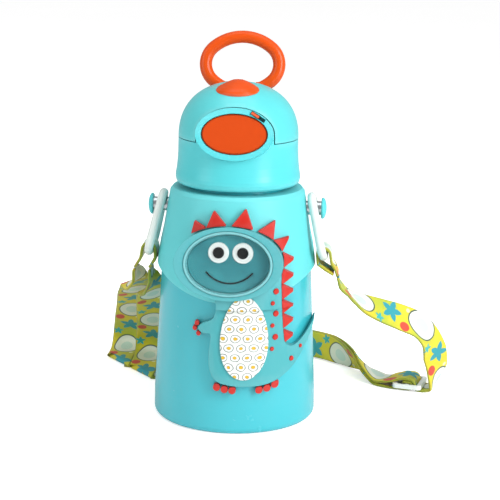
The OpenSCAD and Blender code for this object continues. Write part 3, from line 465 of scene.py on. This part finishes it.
def webbing_finish():
    """Printed webbing: yellow ground, stars, pale ovals and red dots, and a dark line at each side."""
    repeat = 0.04
    material, w, shader = new_material("webbing_printed")
    mapped = w.put("ShaderNodeUVMap", uv_map="along_band").outputs["UV"]
    weave = w.put("ShaderNodeGroup", node_tree=WEAVE)
    w.join(mapped, weave.inputs["Map"])
    cut = w.put("ShaderNodeSeparateXYZ")
    w.join(mapped, cut.inputs[0])
    run, side = cut.outputs[0], cut.outputs[1]
    patch = w.noise(w.object_place(), 45.0, 1.5)
    ground = w.mix(w.step(patch, 0.42, 0.6), rgb("dfd022"), rgb("b7c231"))

    def motif(shift, offset):
        """Position from a motif's centre, as it repeats along the band."""
        cell = w.plus(w.math("DIVIDE", run, repeat), shift)
        local = w.times(w.less(w.math("FRACT", cell), 0.5), repeat)
        return local, w.less(side, offset)

    def distance(x, y, stretch=1.0):
        x = w.times(x, stretch)
        return w.math("SQRT", w.plus(w.times(x, x), w.times(y, y)))

    def star(x, y, size):
        """Mask of a five-pointed star."""
        turns = w.times(w.math("ARCTAN2", y, x), 5 / (2 * math.pi))
        wave = w.math("ABSOLUTE", w.less(w.math("FRACT", turns), 0.5))
        reach = w.times(w.plus(w.times(wave, 1.15), 0.42), size)
        return w.step(w.less(distance(x, y), reach), 0.0002, -0.0002)

    x, y = motif(0.0, 0.0012)
    oval = distance(x, y, 0.72)
    colour = w.mix(w.step(oval, 0.0072, 0.0069), ground, rgb("39564a"))
    colour = w.mix(w.step(oval, 0.0066, 0.0063), colour, rgb("e9efdf"))
    colour = w.mix(w.times(w.step(oval, 0.0034, 0.0031), 0.75), colour, rgb("bfe0d2"))
    colour = w.mix(star(*motif(0.5, 0.0016), 0.0062), colour, rgb("1f9aa6"))
    red_dot = distance(*motif(0.29, -0.0046), 0.8)
    colour = w.mix(w.step(red_dot, 0.0026, 0.0023), colour, rgb("d2452e"))
    colour = w.mix(star(*motif(0.7, -0.0048), 0.003), colour, rgb("2fb0ae"))
    pale_dot = distance(*motif(0.25, 0.0048))
    colour = w.mix(w.step(pale_dot, 0.0012, 0.001), colour, rgb("f2f0b4"))
    rim = w.step(w.math("ABSOLUTE", side), 0.0069, 0.0071)
    colour = w.mix(w.times(rim, 0.55), colour, rgb("5c6a1e"))
    tone = w.put("ShaderNodeHueSaturation")
    w.join(colour, tone.inputs["Color"])
    w.join(weave.outputs["Shade"], tone.inputs["Value"])
    w.join(tone.outputs["Color"], shader.inputs["Base Color"])
    w.join(w.plus(w.times(patch, 0.1), 0.55), shader.inputs["Roughness"])
    lift = w.bump(weave.outputs["Height"], 0.5, WEAVE_DEPTH)
    w.join(lift.outputs["Normal"], shader.inputs["Normal"])
    shader.inputs["Sheen Weight"].default_value = 0.15
    return material


def steel_finish():
    """Drawn and brushed stainless steel."""
    return plain_finish("steel_brushed", "b9bfc2", 0.24, drift=0.04, grain=900.0, wear=0.0, bump=0.08,
                        Metallic=1.0)


def window_finish():
    """Clear moulded window, very slightly hazy."""
    return plain_finish("window_clear", "f2fbfb", 0.04, drift=0.0, spread=0.03, wear=0.0, bump=0.02,
                        round_mm=0, Transmission_Weight=1.0, IOR=1.45, Alpha=0.4)


def face_finish():
    """Printed plate behind the window, slightly uneven in colour."""
    material, w, node = moulded("face_printed", "2f8f98", 0.5, drift=0.05, wear=0.0)[:3]
    patch = w.step(w.noise(w.object_place(), 60.0, 1.0), 0.35, 0.65)
    w.join(w.mix(patch, rgb("2f8790"), rgb("3b9aa2")), node.inputs["Colour"])
    return material


FINISHES = {
    "flask": plain_finish("flask_painted", "3ab4c0", 0.26, drift=0.04, spread=0.06, wear=0.05,
                          Coat_Weight=0.25),
    "steel": steel_finish(),
    "sleeve": plain_finish("sleeve_soft", "5cc8cc", 0.5, drift=0.04, grain=1800.0, wear=0.03, bump=0.1),
    "lid": plain_finish("lid_plastic", "50c6cc", 0.32, drift=0.03, wear=0.05, bump=0.06,
                        Specular_IOR_Level=0.4),
    "dome": plain_finish("dome_plastic", "56c6ca", 0.3, drift=0.03, wear=0.06, bump=0.05),
    "orange": plain_finish("orange_plastic", "d24a06", 0.3, drift=0.05, wear=0.04, bump=0.04,
                           Specular_IOR_Level=0.25),
    "button": plain_finish("button_orange", "c44206", 0.3, drift=0.06, wear=0.0, bump=0.05, round_mm=0,
                           Specular_IOR_Level=0.3),
    "skin": plain_finish("skin_soft", "40a2a8", 0.52, drift=0.05, grain=1500.0, wear=0.04, bump=0.12),
    "red": plain_finish("red_soft", "bd2216", 0.45, drift=0.05, grain=1500.0, wear=0.02, bump=0.1,
                        Specular_IOR_Level=0.22),
    "belly": belly_finish(),
    "bezel": plain_finish("bezel_gloss", "6fb9be", 0.12, drift=0.03, wear=0.05, Coat_Weight=0.6),
    "window": window_finish(),
    "face": face_finish(),
    "eye_white": plain_finish("eye_white_gloss", "f6f7f4", 0.25, drift=0.02, wear=0.0),
    "eye_black": plain_finish("eye_black_gloss", "0b0c0e", 0.2, drift=0.02, wear=0.0),
    "webbing": webbing_finish(),
    "pale": plain_finish("pale_ring_plastic", "dfe8e3", 0.35, drift=0.03, wear=0.05),
    "white": plain_finish("white_plastic", "eef1ee", 0.35, drift=0.03, wear=0.05),
    "silicone": plain_finish("silicone_milky", "e8eeec", 0.4, drift=0.02, wear=0.0,
                             Transmission_Weight=0.35),
}

NODE_FINISH = {
    "flask": ["outer_shell"],
    "steel": ["inner_shell", "base_disc", "stud_pins", "ring_pin", "hinge_pin", "cover_spring",
              "button_spring"],
    "sleeve": ["sleeve"],
    "lid": ["lid_base", "stud_caps"],
    "dome": ["dome_cover"],
    "button": ["button_cap"],
    "orange": ["lock_tab", "crown_cap", "carry_ring"],
    "skin": ["head_pad", "skin_panel"],
    "red": ["spikes", "freckles", "claws"],
    "belly": ["belly_panel"],
    "bezel": ["window_bezel"],
    "window": ["window_lens"],
    "face": ["face_plate"],
    "eye_white": ["eye_whites"],
    "eye_black": ["eye_pupils", "smile"],
    "pale": ["strap_ring_left", "strap_ring_right"],
    "white": ["strap_slider", "thread_insert", "crown_clip", "button_slider"],
    "silicone": ["neck_seal", "spout", "straw", "vent_valve", "cover_seal"],
}


def finish_cad_nodes():
    """Gives each solid of the frame its finish."""
    for finish, names in NODE_FINISH.items():
        for name in names:
            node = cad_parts[name]
            if not node.material_slots:
                node.data.materials.append(FINISHES[finish])
            for held in node.material_slots:
                held.material = FINISHES[finish]


finish_cad_nodes()
for piece in strap_pieces:
    piece.data.materials.append(FINISHES["webbing"])


# ---- the button's return spring, as a piece of its own on the lid ----

def make_button_spring():
    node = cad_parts["button_spring"]
    mesh = node.data.copy()
    mesh.name = "button_return_spring"
    piece = bpy.data.objects.new("button_return_spring", mesh)
    bpy.context.scene.collection.objects.link(piece)
    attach(piece, "lid")
    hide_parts("button_spring")
    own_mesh(piece)


make_button_spring()


# ---- studio ----

def make_studio():
    """A pale floor, a white surround and three soft lamps."""
    seen_glow = 0.55    # what the floor and the surround add where they are seen directly
    size = 9.0
    mesh = bpy.data.meshes.new("studio_floor")
    corners = [(-size, -size, 0), (size, -size, 0), (size, size, 0), (-size, size, 0)]
    mesh.from_pydata(corners, [], [(0, 1, 2, 3)])
    floor = bpy.data.objects.new("studio_floor", mesh)
    bpy.context.scene.collection.objects.link(floor)
    material, w, shader = new_material("floor_pale")
    patch = w.noise(w.object_place(), 3.0)
    w.join(w.mix(patch, (0.93, 0.93, 0.93, 1), (0.96, 0.96, 0.96, 1)), shader.inputs["Base Color"])
    shader.inputs["Roughness"].default_value = 0.7
    shader.inputs["Specular IOR Level"].default_value = 0.1
    seen = w.put("ShaderNodeLightPath").outputs["Is Camera Ray"]
    shader.inputs["Emission Color"].default_value = (1, 1, 1, 1)
    w.join(w.times(seen, seen_glow), shader.inputs["Emission Strength"])
    mesh.materials.append(material)

    world = bpy.data.worlds.new("studio_world")
    bpy.context.scene.world = world
    world.use_nodes = True
    back = world.node_tree.nodes["Background"]
    back.inputs["Color"].default_value = (1, 1, 1, 1)
    ways = Wires(world.node_tree)
    seen = ways.put("ShaderNodeLightPath").outputs["Is Camera Ray"]
    ways.join(ways.plus(ways.times(seen, seen_glow), 0.45), back.inputs["Strength"])
    for name, place, aim, size, power in (
            ("softbox_right", (0.75, -0.55, 0.55), (0, 0, 0.1), (0.3, 0.9), 11.0),
            ("softbox_left", (-0.8, -0.5, 0.5), (0, 0, 0.1), (0.4, 0.9), 3.0),
            ("softbox_top", (0.0, -0.1, 1.1), (0, 0, 0.1), (0.8, 0.8), 3.5)):
        data = bpy.data.lights.new(name, "AREA")
        data.shape = "RECTANGLE"
        data.size, data.size_y = size
        data.energy = power
        lamp = bpy.data.objects.new(name, data)
        bpy.context.scene.collection.objects.link(lamp)
        lamp.location = place
        lamp.rotation_euler = (Vector(aim) - Vector(place)).to_track_quat("-Z", "Y").to_euler()


make_studio()
